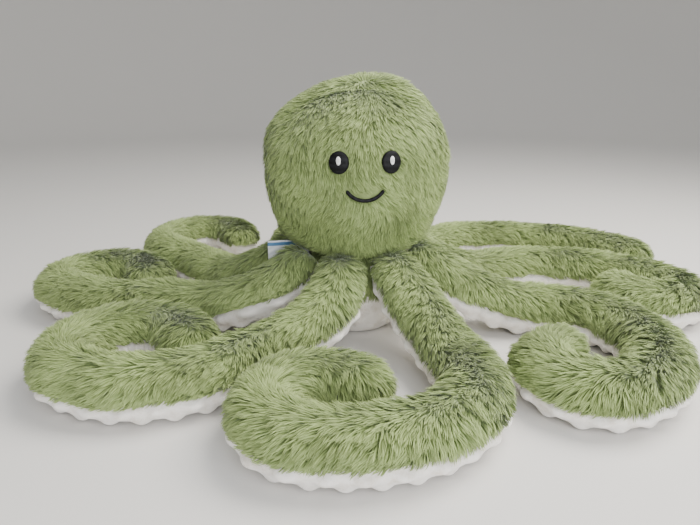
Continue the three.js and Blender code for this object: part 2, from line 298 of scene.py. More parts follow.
@dataclass(frozen=True)
class ThreadFinish:
    """Satin-stitched rayon thread: a soft gloss on parallel 0.4 mm threads, drawn 0.9 mm apart to show."""

    colour: ThreadColour
    spacing: float = 0.9

    def material(self) -> bpy.types.Material:
        """Bands along the cloth map's up direction, one for each thread."""
        name, shaded, lit = self.colour.value
        made, tree = start_material(name)
        uv = add_node(tree, "ShaderNodeUVMap", uv_map=CLOTH_MAP)
        threads = add_node(
            tree, "ShaderNodeTexWave",
            {"Scale": MAP_SPAN / self.spacing / 20, "Distortion": 0.6, "Detail": 1.0, "Detail Scale": 3.0},
            {"Vector": uv.outputs[0]}, bands_direction="X",
        )
        colour = add_node(tree, "ShaderNodeValToRGB", links={0: threads.outputs["Fac"]})
        set_stops(colour, [(0.1, shaded), (0.9, lit)])
        bump = add_node(
            tree, "ShaderNodeBump", {"Strength": 0.6, "Distance": 0.0003},
            {"Height": threads.outputs["Fac"]},
        )
        shader = add_node(
            tree, "ShaderNodeBsdfPrincipled", {"Roughness": 0.55, "Specular IOR Level": 0.2},
            {"Base Color": colour.outputs[0], "Normal": bump.outputs[0]},
        )
        add_node(tree, "ShaderNodeOutputMaterial", links={0: shader.outputs[0]})
        return made


@dataclass(frozen=True)
class TapeFinish:
    """Woven satin label tape: white with a slight gloss and a plain printed band."""

    ground: str = "#eef0f2"
    shade: str = "#d5d9de"
    print_blue: str = "#4f7ea6"
    thread: float = 0.5
    band: tuple[float, float] = (0.72, 0.9)  # the print's edges, as shares of the tape's height
    band_edge: float = 0.02

    def material(self) -> bpy.types.Material:
        """The cloth map runs 0 to 1 both ways here: a fine weave, and a blue band near the top edge."""
        made, tree = start_material("polyester_satin_tape_printed_blank")
        uv = add_node(tree, "ShaderNodeUVMap", uv_map=CLOTH_MAP)
        split = add_node(tree, "ShaderNodeSeparateXYZ", links={0: uv.outputs[0]})
        weave = add_node(
            tree, "ShaderNodeTexWave", {"Scale": 1 / self.thread, "Distortion": 0.3},
            {"Vector": uv.outputs[0]}, bands_direction="DIAGONAL",
        )
        ground = add_node(tree, "ShaderNodeValToRGB", links={0: weave.outputs["Fac"]})
        set_stops(ground, [(0.0, self.shade), (1.0, self.ground)])
        band = add_node(tree, "ShaderNodeValToRGB", links={0: split.outputs["Y"]})
        low, high = self.band
        set_stops(band, [
            (0.0, "#000000"), (low, "#000000"), (low + self.band_edge, "#ffffff"),
            (high, "#ffffff"), (high + self.band_edge, "#000000"),
        ])
        colour = add_node(
            tree, "ShaderNodeMix", {7: linear(self.print_blue)},
            {0: band.outputs[0], 6: ground.outputs[0]}, data_type="RGBA",
        )
        bump = add_node(
            tree, "ShaderNodeBump", {"Strength": 0.4, "Distance": 0.0002}, {"Height": weave.outputs["Fac"]},
        )
        shader = add_node(
            tree, "ShaderNodeBsdfPrincipled", {"Roughness": 0.45, "Sheen Weight": 0.2},
            {"Base Color": colour.outputs[2], "Normal": bump.outputs[0]},
        )
        add_node(tree, "ShaderNodeOutputMaterial", links={0: shader.outputs[0]})
        return made


@dataclass(frozen=True)
class TableFinish:
    """Matt painted board for the plain pale floor."""

    colour: str = "#dcdad6"

    def material(self) -> bpy.types.Material:
        """One colour with the faintest mottling, so that it reads as a real board."""
        made, tree = start_material("painted_board_matt_pale")
        place = add_node(tree, "ShaderNodeTexCoord").outputs["Object"]
        mottle = add_node(tree, "ShaderNodeTexNoise", {"Scale": 14.0, "Detail": 3.0}, {"Vector": place})
        bump = add_node(
            tree, "ShaderNodeBump", {"Strength": 0.1, "Distance": 0.0005}, {"Height": mottle.outputs["Fac"]},
        )
        shader = add_node(
            tree, "ShaderNodeBsdfPrincipled", {"Base Color": linear(self.colour), "Roughness": 0.7},
            {"Normal": bump.outputs[0]},
        )
        add_node(tree, "ShaderNodeOutputMaterial", links={0: shader.outputs[0]})
        return made


class Slot(Enum):
    """The record's material slots."""

    GREEN_PILE = "green_pile"
    WHITE_SOLE = "white_sole"
    FILLING = "filling"
    BLACK_THREAD = "black_thread"
    WHITE_THREAD = "white_thread"
    LABEL_TAPE = "label_tape"


@dataclass
class Wardrobe:
    """Every finish of the toy, made once."""

    pile: bpy.types.Material = field(default_factory=lambda: PileFinish().material())
    backing: bpy.types.Material = field(default_factory=lambda: BackingFinish().material())
    sole: bpy.types.Material = field(default_factory=lambda: DimplePlushFinish().material())
    black: bpy.types.Material = field(default_factory=lambda: ThreadFinish(ThreadColour.BLACK).material())
    white: bpy.types.Material = field(default_factory=lambda: ThreadFinish(ThreadColour.WHITE).material())
    tape: bpy.types.Material = field(default_factory=lambda: TapeFinish().material())


# ---------------------------------------------------------------- meshes


def build_object(
    name: str,
    vertices: Array,
    faces: Sequence[Indices],
    finishes: Sequence[bpy.types.Material],
    face_finish: Indices | None = None,
    maps: dict[str, Array] | None = None,
) -> bpy.types.Object:
    """Puts whole arrays into a new mesh object at the origin.

    Args:
        name: The piece's name.
        vertices: Places in millimetres, one row each.
        faces: Arrays of vertex numbers, one array for each number of sides.
        finishes: The piece's materials.
        face_finish: For each face in order, which material it takes.
        maps: For each UV map, a place for each face corner in order.

    Returns:
        The object.
    """
    mesh = bpy.data.meshes.new(name)
    mesh.vertices.add(len(vertices))
    mesh.vertices.foreach_set("co", (vertices * MM).astype(np.float32).ravel())
    corners = np.concatenate([group.ravel() for group in faces]).astype(np.int32)
    sides = np.concatenate([np.full(len(group), group.shape[1]) for group in faces])
    mesh.loops.add(len(corners))
    mesh.loops.foreach_set("vertex_index", corners)
    mesh.polygons.add(len(sides))
    mesh.polygons.foreach_set("loop_start", (np.cumsum(sides) - sides).astype(np.int32))
    mesh.polygons.foreach_set("use_smooth", np.ones(len(sides), bool))
    for finish in finishes:
        mesh.materials.append(finish)
    if face_finish is not None:
        mesh.polygons.foreach_set("material_index", face_finish.astype(np.int32))
    mesh.update(calc_edges=True)
    for label, places in (maps or {}).items():
        layer = mesh.uv_layers.new(name=label)
        layer.data.foreach_set("uv", places.astype(np.float32).ravel())
    piece = bpy.data.objects.new(name, mesh)
    bpy.context.scene.collection.objects.link(piece)
    return piece


def closed_shell(
    name: str,
    rings: Array,
    around: Array,
    along: Array,
    finishes: Sequence[bpy.types.Material],
    column_finish: Indices | None = None,
) -> bpy.types.Object:
    """Joins rings of points into a skin and closes each end with a fan of triangles.

    Args:
        name: The piece's name.
        rings: Points in millimetres, as rings by points round a ring by x, y, z. Round a ring times
            along the rings points outwards.
        around: The cloth map's place across each column, with one more for the ring's end.
        along: The cloth map's place along each ring.
        finishes: The piece's materials.
        column_finish: For each column, which material it takes.

    Returns:
        The object.
    """
    rows, columns, _ = rings.shape
    row, column = np.meshgrid(np.arange(rows - 1), np.arange(columns), indexing="ij")
    row, column = row.ravel(), column.ravel()
    following = (column + 1) % columns
    quads = np.stack(
        [row * columns + column, row * columns + following,
         (row + 1) * columns + following, (row + 1) * columns + column], axis=1,
    )
    quad_map = np.stack(
        [np.stack([around[column], around[column + 1], around[column + 1], around[column]], 1),
         np.stack([along[row], along[row], along[row + 1], along[row + 1]], 1)], axis=2,
    )
    each = np.arange(columns)
    beside = (each + 1) % columns
    last = (rows - 1) * columns
    pole = rows * columns
    fans = np.concatenate([
        np.stack([beside, each, np.full(columns, pole)], 1),
        np.stack([last + each, last + beside, np.full(columns, pole + 1)], 1),
    ])
    fan_across = np.concatenate([
        np.stack([around[each + 1], around[each], around[each]], 1),
        np.stack([around[each], around[each + 1], around[each]], 1),
    ])
    fan_along = np.repeat(np.array([along[0], along[-1]]), columns)[:, None].repeat(3, 1)
    poles = np.stack([rings[0].mean(0), rings[-1].mean(0)])
    finish = None
    if column_finish is not None:
        finish = np.concatenate([column_finish[column], column_finish, column_finish])
    flat_map = np.concatenate([
        quad_map.reshape(-1, 2), np.stack([fan_across, fan_along], 2).reshape(-1, 2),
    ])
    return build_object(
        name, np.concatenate([rings.reshape(-1, 3), poles]), [quads, fans], finishes, finish,
        {CLOTH_MAP: flat_map / MAP_SPAN},
    )


# ---------------------------------------------------------------- pile


class Skin:
    """A surface of two parameters, both about in millimetres along it."""

    def points(self, first: Array, second: Array) -> Array:
        """The surface's points at two parameters, in millimetres."""
        raise NotImplementedError

    def frames(self, first: Array, second: Array) -> tuple[Array, Array, Array, Array]:
        """Points with their tangents and outward normals, by central differences of 0.5 mm.

        Args:
            first: The first parameter.
            second: The second parameter.

        Returns:
            The points, the slopes by the first and by the second parameter, and the unit normals.
        """
        step = 0.25
        by_first = (self.points(first + step, second) - self.points(first - step, second)) / (2 * step)
        by_second = (self.points(first, second + step) - self.points(first, second - step)) / (2 * step)
        return self.points(first, second), by_first, by_second, unit(np.cross(by_second, by_first))


@dataclass(frozen=True)
class PileCut:
    """How a stretch of pile is cut and brushed, in millimetres and degrees."""

    length: float = 13.0
    width: float = 0.85
    density: float = 0.78  # strands on a square millimetre
    tuft: float = 6.0
    gather: float = 0.3  # share of the way that the tips of a tuft draw together
    stray: float = 12.0
    swirl: float = 26.0
    swirl_pitch: float = 60.0
    lift: float = 0.46  # how steeply a strand leaves the cloth, as a slope
    droop: float = 0.16  # how far its tip still stands off, as a slope


@dataclass
class Strands:
    """Where strands are rooted and which way they lie: one row of each array for each strand."""

    roots: Array
    normals: Array
    comb: Array
    length_share: Array
    stand: Array  # added to the slopes at which a strand leaves the cloth and ends


def scatter(
    skin: Skin, spans: tuple[tuple[float, float], tuple[float, float]], density: float,
    rng: np.random.Generator,
) -> tuple[Array, Array]:
    """Picks places evenly by area on a stretch of a surface.

    Candidates are thrown evenly over the two parameters, and each is kept with a chance in
    proportion to the area that a unit square of parameters covers there.

    Args:
        skin: The surface.
        spans: The lowest and highest value of each parameter.
        density: Places on a square millimetre.
        rng: The source of chance.

    Returns:
        Both parameters of each place.
    """
    (low_a, high_a), (low_b, high_b) = spans
    room = (high_a - low_a) * (high_b - low_b)
    most = 1.9
    count = int(room * density * most)
    first = rng.uniform(low_a, high_a, count)
    second = rng.uniform(low_b, high_b, count)
    _, by_first, by_second, _ = skin.frames(first, second)
    area = np.linalg.norm(np.cross(by_first, by_second), axis=-1)
    kept = rng.uniform(0, most, count) < area
    return first[kept], second[kept]


def grow_pile(
    name: str,
    strands: Strands,
    cut: PileCut,
    finish: bpy.types.Material,
    seed: int,
    spared: Callable[[Array], NDArray[np.bool_]] | None = None,
) -> bpy.types.Object:
    """Grows flat tapered strands that leave the cloth steeply, bend over along the comb and end in tufts.

    A strand's middle line is root + length * (e0 * (t - t^2 / 2) + e1 * t^2 / 2), where e0 is its
    direction at the root and e1 at the tip. Strands in one warped cell of the tuft's size turn alike,
    and their ends draw towards the mean of the tuft's ends.

    Args:
        name: The piece's name.
        strands: Where the strands are and which way they lie.
        cut: How the pile is cut and brushed.
        finish: The pile's material.
        seed: Picks the chance in it.
        spared: Says which places must stay clear of pile.

    Returns:
        The object.
    """
    rng = np.random.default_rng(seed)
    roots, normals = strands.roots, strands.normals
    count = len(roots)
    warp = np.stack([ripple(roots, 3 * cut.tuft, seed + k) for k in range(3)], -1)
    cells = np.floor(roots / cut.tuft + 0.6 * warp).astype(np.int64)
    _, tuft = np.unique(cells @ 4096 ** np.arange(3), return_inverse=True)
    tufts = tuft.max() + 1
    size = np.bincount(tuft, minlength=tufts)

    turn = np.radians(
        cut.swirl * ripple(roots, cut.swirl_pitch, seed + 7)
        + rng.normal(0, cut.stray, tufts)[tuft] + rng.normal(0, cut.stray / 2, count)
    )[:, None]
    comb = unit(strands.comb - (strands.comb * normals).sum(-1, keepdims=True) * normals)
    comb = comb * np.cos(turn) + np.cross(normals, comb) * np.sin(turn)
    length = cut.length * strands.length_share
    length = length * (1 + rng.normal(0, 0.07, tufts)[tuft] + rng.normal(0, 0.09, count))
    rise = (cut.lift + strands.stand + rng.normal(0, 0.08, tufts)[tuft])[:, None]
    fall = cut.droop + strands.stand + rng.normal(0, 0.08, tufts)[tuft] + rng.normal(0, 0.07, count)
    start = unit(comb + rise * normals * 1.6)
    end = unit(comb + fall[:, None] * normals)
    stations = np.array([0.0, 0.4, 0.75, 1.0])
    pull = np.array([0.0, 0.12, 0.55, 1.0]) * cut.gather
    line = np.stack([
        roots + length[:, None] * (start * (t - t * t / 2) + end * t * t / 2) for t in stations
    ], axis=1)
    tip_sum = np.stack([np.bincount(tuft, line[:, -1, k], tufts) for k in range(3)], -1)
    drawn = tip_sum[tuft] / size[tuft][:, None] - line[:, -1]
    drawn *= np.minimum(1, 4.0 / np.maximum(np.linalg.norm(drawn, axis=-1, keepdims=True), 1e-9))
    line += drawn[:, None, :] * pull[None, :, None]

    if spared is not None:
        clear = ~spared(line[:, 1]) & ~spared(line[:, 2]) & ~spared(line[:, 3]) & ~spared(roots)
        line, normals, tuft = line[clear], normals[clear], tuft[clear]
        count = len(line)

    away = unit(line[:, -1] - line[:, 0])
    side = unit(np.cross(away, normals))
    upward = np.cross(side, away)
    roll = np.radians(rng.normal(0, 24, count))[:, None]
    side = side * np.cos(roll) + upward * np.sin(roll)
    breadth = cut.width / 2 * rng.uniform(0.75, 1.2, count)[:, None]
    taper = [1.0, 0.9, 0.55]
    pairs = [line[:, k] + sign * side * breadth * taper[k] for k in range(3) for sign in (-1, 1)]
    vertices = np.stack([*pairs, line[:, 3]], axis=1)
    base = np.arange(count)[:, None] * 7
    order = np.array([0, 1, 3, 2, 2, 3, 5, 4, 4, 5, 6])
    corners = base + order[None, :]
    tint = 0.5 + 0.16 * ripple(line[:, 0], 55, seed + 11) + rng.normal(0, 0.07, tufts)[tuft]
    tint = np.clip(tint + rng.normal(0, 0.15, count), 0.02, 0.98)
    heights = stations[[0, 0, 1, 1, 2, 2, 3]][order]
    places = np.stack(
        [np.repeat(tint[:, None], len(order), 1), np.broadcast_to(heights, (count, len(order)))], 2,
    )
    places[..., 1] = np.clip(places[..., 1], 0.02, 0.98)
    faces = [corners[:, :4], corners[:, 4:8], corners[:, 8:]]
    maps = np.concatenate([places[:, :4].reshape(-1, 2), places[:, 4:8].reshape(-1, 2),
                           places[:, 8:].reshape(-1, 2)])
    return build_object(name, vertices.reshape(-1, 3), faces, [finish], None, {PILE_MAP: maps})


# ---------------------------------------------------------------- arms


@dataclass(frozen=True)
class DimpleSheet:
    """The bubbles raised in dimple plush, in millimetres: a staggered lattice of round caps."""

    pitch_along: float = 21.0
    pitch_across: float = 15.0
    radius: float = 7.5
    height: float = 3.6

    def rise(self, along: Array, across: Array) -> Array:
        """How far the cloth stands out: height * (1 - (d / radius)^2)^1.5 within a bubble's radius.

        d is the distance from the nearest point of a lattice whose every second row is shifted by
        half a pitch.
        """
        best = np.full(np.broadcast(along, across).shape, np.inf)
        for shift in (0.0, 0.5):
            near_along = (np.round(along / self.pitch_along - shift) + shift) * self.pitch_along
            near_across = (np.round(across / (2 * self.pitch_across) - shift) + shift) * 2 * self.pitch_across
            best = np.minimum(best, np.hypot(along - near_along, across - near_across))
        return self.height * np.clip(1 - (best / self.radius) ** 2, 0, 1) ** 1.5


@dataclass(frozen=True)
class ArmPart:
    """One piece of an arm's cloth between two distances, and the bodies it moves with."""

    label: str
    start: float
    stop: float
    bodies: tuple[str, ...]
    bend_from: float = 0.0
    bend_to: float = 0.0


@dataclass(frozen=True)
class Arm(Skin):
    """One stuffed arm: a long-pile top and a dimple-plush sole, curled clockwise on the table."""

    name: str
    azimuth: float
    runs: tuple[tuple[float, float], ...]  # lengths, and the degrees turned clockwise over each
    seed: int
    hinge_radius: float = 75.0
    hinge_height: float = 66.0
    length: float = 504.0
    root_reach: float = 20.5
    half_width: float = 24.2
    sole_half_width: float = 25.6
    top: float = 21.0
    bottom: float = 22.6
    seam_drop: float = 3.0
    curl_settling: float = 4.5
    slope_length: float = 100.0
    slope_power: float = 1.5
    rest_height: float = 25.0
    tip_hinge: float = 385.0
    bend_start: float = 345.0  # where the cloth over the tip's hinge begins and ends
    bend_stop: float = 425.0
    root_blend: tuple[float, float] = (52.0, 98.0)  # radii kept on the root part for a hand-over between bodies; nothing reads them
    tip_blend: float = 12.0
    sole_squareness: float = 2.7
    dimples: DimpleSheet = DimpleSheet()
    cut: PileCut = PileCut()

    @property
    def arch_length(self) -> float:
        """About how far it is over the top from seam to seam."""
        return math.pi * (self.half_width + self.top + self.seam_drop) / 2

    def course(self, distance: Array) -> tuple[Array, Array, Array]:
        """Where the arm's middle line is, in plan.

        Each run is an arc of a circle: over a step s that bends by b per millimetre from heading h,
        x grows by (sin(h + bs) - sin h) / b and y by (cos h - cos(h + bs)) / b.

        Args:
            distance: Millimetres from the hinge line, negative behind it.

        Returns:
            x, y and the heading in radians.
        """
        start = math.radians(self.azimuth)
        heading = np.full(np.shape(distance), start)
        x = self.hinge_radius * np.cos(heading)
        y = self.hinge_radius * np.sin(heading)
        left = np.maximum(distance, 0)
        for length, degrees in self.runs:
            step = np.minimum(left, length)
            bend = -math.radians(degrees) / length
            following = heading + bend * step
            x = x + (np.sin(following) - np.sin(heading)) / bend
            y = y + (np.cos(heading) - np.cos(following)) / bend
            heading = following
            left = left - step
        behind = np.minimum(distance, 0)
        return x + behind * math.cos(start), y + behind * math.sin(start), heading

    def height(self, distance: Array) -> Array:
        """The middle line's height: it falls to the table as a power of the way left to go."""
        rise = self.hinge_height - self.rest_height
        root = rise * self.slope_power / self.slope_length
        share = np.clip(1 - distance / self.slope_length, 0, 1)
        ahead = self.rest_height + rise * share**self.slope_power
        return np.where(distance < 0, self.hinge_height - distance * root, ahead)

    def fullness(self, distance: Array) -> tuple[Array, Array]:
        """Shares of the full width and height kept at a distance: rounded ends and a wedged root."""
        behind = np.clip(-distance / (self.root_reach + 1), 0, 1)
        past = np.clip((distance - (self.length - 27)) / 27.5, 0, 1)
        wedge = np.minimum(1, 0.86 + 0.0065 * distance)
        wide = np.minimum(np.sqrt(1 - past**2), wedge) * np.sqrt(1 - 0.35 * behind**2)
        high = np.sqrt(1 - 0.8 * past**2) * np.sqrt(1 - 0.97 * behind**2)
        return wide, high

    def lumps(self, distance: Array, angle: Array) -> Array:
        """How full the stuffing is there, as a share: slow lumps of a few per cent."""
        places = np.stack(np.broadcast_arrays(distance, 28 * np.cos(angle), 28 * np.sin(angle)), -1)
        return 1 + 0.028 * ripple(places, 75, self.seed)

    def settling(self, distance: Array) -> Array:
        """How far a curl lies inwards of its course, more so at the tip, so that it closes like a spiral."""
        return self.curl_settling * (smooth_step(distance, 170, 290) + smooth_step(distance, 390, 500))

    def placed(self, distance: Array, side: Array, up: Array) -> Array:
        """Carries a point of the section, given to the left and up, to its place along the arm."""
        x, y, heading = self.course(distance)
        wide, high = self.fullness(distance)
        slope = (self.height(distance + 1) - self.height(distance - 1)) / 2
        lean = np.arctan(slope)
        side, up = side * wide - self.settling(distance), up * high
        back = -up * np.sin(lean)
        return np.stack([
            x - side * np.sin(heading) + back * np.cos(heading),
            y + side * np.cos(heading) + back * np.sin(heading),
            self.height(distance) + up * np.cos(lean),
        ], -1)

    def seam(self, distance: Array) -> Array:
        """How far the side seam runs below the middle line: it wanders by a couple of millimetres."""
        places = np.stack([distance, np.zeros_like(distance), np.zeros_like(distance)], -1)
        return self.seam_drop - 1.6 * ripple(places, 60, self.seed + 3)

    def points(self, first: Array, second: Array) -> Array:
        """The top cloth: half an ellipse over the seam line, from the left seam to the right one.

        Args:
            first: Millimetres along the arm.
            second: Millimetres over the top, from the left seam.

        Returns:
            The points.
        """
        angle = np.pi * np.clip(second / self.arch_length, -0.05, 1.05)
        drop = self.seam(first)
        full = self.lumps(first, angle)
        side = self.half_width * full * np.cos(angle)
        up = -drop + (self.top + drop) * full * np.sin(angle)
        return self.placed(first, side, up)

    def rings(self, distances: Array, top_columns: int, sole_columns: int) -> tuple[Array, Array]:
        """The stuffed arm's rings: the top cloth, then the sole from the right seam back to the left.

        The sole is half a superellipse below the seam line. It is raised by its bubbles, puckered near
        the seam in waves of 9 mm, and pressed flat where it meets the table.

        Args:
            distances: Where the rings stand along the arm.
            top_columns: Steps over the top.
            sole_columns: Steps over the sole.

        Returns:
            Rings by columns of points, and the cloth map's place across each column and the end.
        """
        over = np.linspace(0, self.arch_length, top_columns, endpoint=False)
        along, across = np.meshgrid(distances, over, indexing="ij")
        top = self.points(along, across)

        fine = np.linspace(0, np.pi, 240)
        power = 2 / self.sole_squareness
        flank = -np.sign(np.cos(fine)) * np.abs(np.cos(fine)) ** power
        depth = np.abs(np.sin(fine)) ** power
        drop = self.bottom - self.seam_drop
        run = np.concatenate([[0], np.cumsum(np.hypot(
            np.diff(flank) * self.half_width, np.diff(depth) * drop))])
        under = np.linspace(0, run[-1], sole_columns, endpoint=False)
        flank, depth = np.interp(under, run, flank), np.interp(under, run, depth)
        along, across = np.meshgrid(distances, under, indexing="ij")
        seam = self.seam(along)
        from_seam = np.minimum(across, run[-1] - across)
        raised = self.dimples.rise(along, across - run[-1] / 2) * smooth_step(from_seam, 1.0, 6.0)
        pucker = np.sin(2 * np.pi * along / 9 + 2 * ripple(np.stack(
            [along, across * 0.2, across * 0], -1), 40, self.seed + 5))
        raised = raised + 0.55 * pucker * (1 - smooth_step(from_seam, 2.0, 10.0))
        tuck = 1.2 * np.exp(-((from_seam / 1.8) ** 2))
        outward_side = np.abs(flank) ** 1.5 * np.sign(flank)
        outward_down = depth**1.5
        reach = raised - tuck
        bulge = smooth_step(depth, 0.0, 0.3)
        half_width = self.half_width + (self.sole_half_width - self.half_width) * bulge
        side = half_width * flank + outward_side * reach
        up = -seam - (self.bottom - seam) * depth - outward_down * reach
        sole = self.placed(along, side, up)
        rings = np.concatenate([top, sole], 1)
        rings[..., 2] = np.maximum(rings[..., 2], 0.35)
        around = np.concatenate([over, self.arch_length + under, [self.arch_length + run[-1]]])
        return rings, around

    def parts(self) -> list[ArmPart]:
        """The arm's cloth in three: over its root hinge, over its tip's hinge, and the free end."""
        tip = f"{self.name}_tip"
        return [
            ArmPart("root", -self.root_reach, self.bend_start, ("body", self.name), *self.root_blend),
            ArmPart(
                "bend", self.bend_start, self.bend_stop, (self.name, tip),
                -self.tip_blend, self.tip_blend,
            ),
            ArmPart("end", self.bend_stop, self.length, (tip,)),
        ]

    def attach(self, piece: bpy.types.Object, part: ArmPart) -> None:
        """Carries a piece of the arm with its body when it belongs to one; a piece shared by two bodies only
        has its transform baked into its mesh.

        Args:
            piece: The piece, with its mesh final.
            part: Which stretch of the arm it covers.
        """
        if len(part.bodies) == 1:
            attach(piece, part.bodies[0])
            return
        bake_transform(piece)

    def comb(self, distance: Array, over: Array, slopes: tuple[Array, Array]) -> Array:
        """The way the pile lies: along the arm on its ridge, and out over its sides lower down."""
        angle = np.pi * over / self.arch_length
        forward, sideways = unit(slopes[0]), unit(slopes[1])
        outward = np.cos(angle) * np.sqrt(np.clip(np.sin(angle), 0.02, 1)) * 1.25
        return 0.62 * forward - outward[:, None] * sideways

    def build(self, wardrobe: Wardrobe) -> list[bpy.types.Object]:
        """Builds the arm's stuffed cloth and its pile, and joins each piece that belongs to one body only to
        that body.

        Args:
            wardrobe: The toy's finishes.

        Returns:
            The pieces.
        """
        made = []
        top_columns, sole_columns = 14, 38
        for order, part in enumerate(self.parts()):
            rows = int((part.stop - part.start) / 1.9) + 1
            distances = np.linspace(part.start, part.stop, rows)
            if part.label == "end":
                ease = np.sin(np.linspace(0, np.pi / 2, 14))
                distances = np.concatenate([distances[distances < part.stop - 20],
                                            part.stop - 19 + 19 * ease])
            rings, around = self.rings(distances, top_columns, sole_columns)
            cloth = closed_shell(
                f"{self.name}_{part.label}_stuffed", rings, around, distances,
                [wardrobe.backing, wardrobe.sole], np.repeat([0, 1], [top_columns, sole_columns]),
            )
            if part.label == "root":
                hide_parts(f"{self.name}_sole", f"{self.name}_filling")
            if part.label == "end":
                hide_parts(f"{self.name}_tip_sole")
            self.attach(cloth, part)

            rng = np.random.default_rng(self.seed * 10 + order)
            spans = ((part.start + 1, part.stop), (0.0, self.arch_length))
            first, second = scatter(self, spans, self.cut.density, rng)
            roots, by_first, by_second, normals = self.frames(first, second)
            edge = np.minimum(second, self.arch_length - second)
            share = 0.56 + 0.44 * smooth_step(edge, 0, 15)
            stand = 0.5 * (1 - smooth_step(edge, 0, 12))
            strands = Strands(roots, normals, self.comb(first, second, (by_first, by_second)), share, stand)
            pile = grow_pile(
                f"{self.name}_{part.label}_pile", strands, self.cut, wardrobe.pile, self.seed + order,
            )
            if part.label == "root":
                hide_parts(f"{self.name}_pile")
            if part.label == "end":
                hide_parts(f"{self.name}_tip_pile")
            self.attach(pile, part)
            made += [cloth, pile]
        return made


# ---------------------------------------------------------------- head


